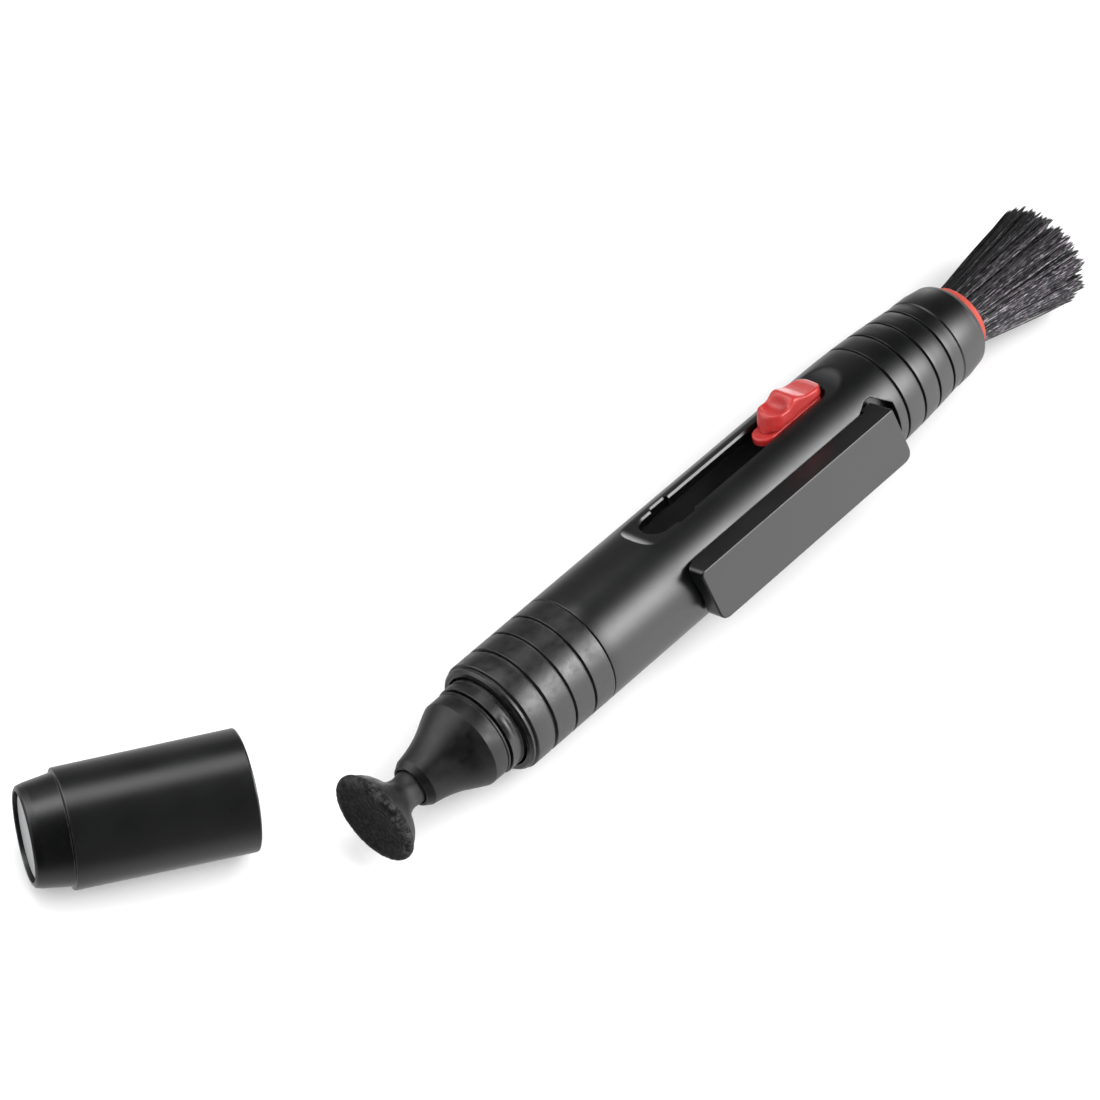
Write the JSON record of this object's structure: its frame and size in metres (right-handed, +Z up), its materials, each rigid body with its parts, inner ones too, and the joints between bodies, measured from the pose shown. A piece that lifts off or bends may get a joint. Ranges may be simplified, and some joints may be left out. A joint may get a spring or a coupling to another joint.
{
  "type": "lens cleaning pen",
  "caption": "Pocket lens cleaning pen with a slider-driven retractable brush, a flexible rubber cleaning tip, a side clip and a separate push-on cap lying beside it.",
  "frame": {"origin": "centre of the footprint of pen and cap, on the surface they lie on", "axes": "+X along the pen from cleaning tip to brush, +Y towards the side where the cap lies, +Z up"},
  "size_m": [0.1573, 0.0416, 0.017],
  "materials": {
    "gloss_black_plastic": "satin gloss black moulding",
    "matt_black_plastic": "fine matt black moulding",
    "black_rubber": "soft matt rubber",
    "carbon_face": "rough carbon-loaded face",
    "red_plastic": "satin red moulding",
    "resin": "set resin",
    "black_bristle": "soft black hair",
    "liner_plastic": "matt dark plastic",
    "silver_badge": "fine satin silver disc"
  },
  "bodies": {
    "pen": {"barrel": "gloss_black_plastic", "front_sleeve": "matt_black_plastic", "cap_seat": "matt_black_plastic", "tip_holder": "matt_black_plastic", "tip_stem": "black_rubber"},
    "brush": {"brush_carriage": "red_plastic", "slider_button": "red_plastic", "brush_ferrule": "red_plastic", "bristle_plug": "resin", "brush_bristles": "black_bristle"},
    "tip": {"tip_head": "black_rubber", "tip_pad": "carbon_face"},
    "clip": {"clip": "gloss_black_plastic"},
    "cap": {"cap_shell": "matt_black_plastic", "cap_pad_cup": "liner_plastic", "carbon_pad": "carbon_face", "cap_badge": "silver_badge"}
  },
  "joints": [
    {"name": "brush_slide", "type": "slide", "parent": "pen", "child": "brush", "axis": [1, 0, 0], "range_m": [-0.0192, 0], "deforming": ["brush_bristles"]},
    {"name": "tip_flex", "type": "hinge", "parent": "pen", "child": "tip", "pos_m": [-0.03968, -0.01027, 0.0075], "axis": [0, 1, 0], "range_deg": [-10, 10], "stiffness_Nm_per_rad": 0.02},
    {"name": "clip_flex", "type": "hinge", "parent": "pen", "child": "clip", "pos_m": [0.03862, -0.01651, 0.01109], "axis": [0, 0.4985, 0.8669], "range_deg": [0, 4], "stiffness_Nm_per_rad": 0.8},
    {"name": "cap_swing", "type": "hinge", "parent": "pen", "child": "cap", "pos_m": [-0.02619, 0.00388, 0.0075], "axis": [0, 0, 1], "range_deg": [0, 29.55]}
  ]
}
